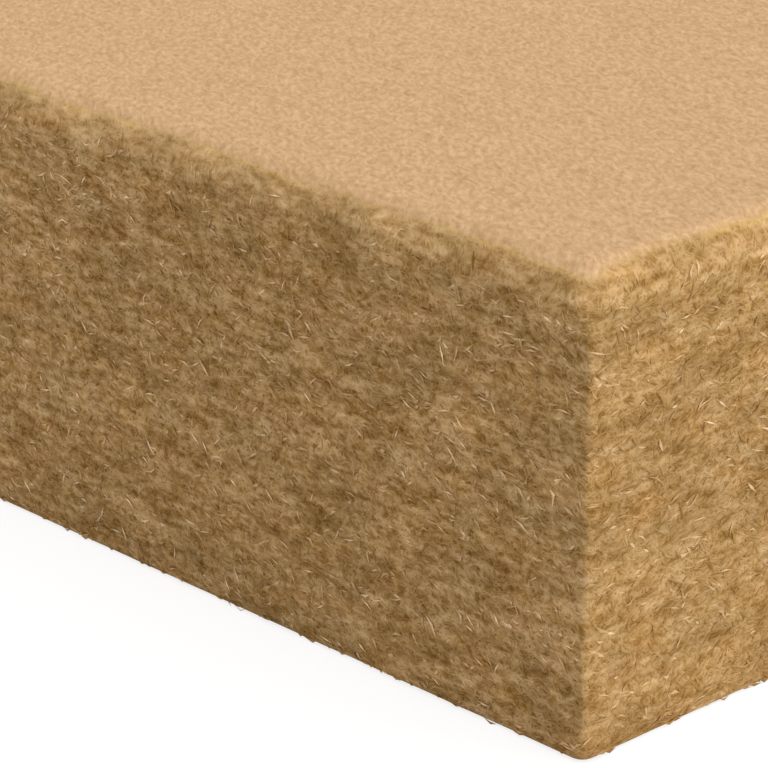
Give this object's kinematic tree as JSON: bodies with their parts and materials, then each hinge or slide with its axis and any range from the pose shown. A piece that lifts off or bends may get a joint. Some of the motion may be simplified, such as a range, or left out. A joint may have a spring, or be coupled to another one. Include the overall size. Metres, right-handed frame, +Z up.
{
  "type": "wood fibre insulation batt",
  "caption": "Flat rectangular batt of felted wood fibre with a smooth pressed face and fuzzy cut edges, friction-fitted between studs or rafters as thermal insulation.",
  "frame": {"origin": "middle of the underside, on the surface that the batt lies on", "axes": "+X along the length, +Y across the width, +Z up through the thickness to the pressed face"},
  "size_m": [1.22, 0.575, 0.14],
  "materials": {
    "wood_fibre": "matte"
  },
  "bodies": {
    "root": {"fibre_batt": "wood_fibre"}
  },
  "joints": []
}
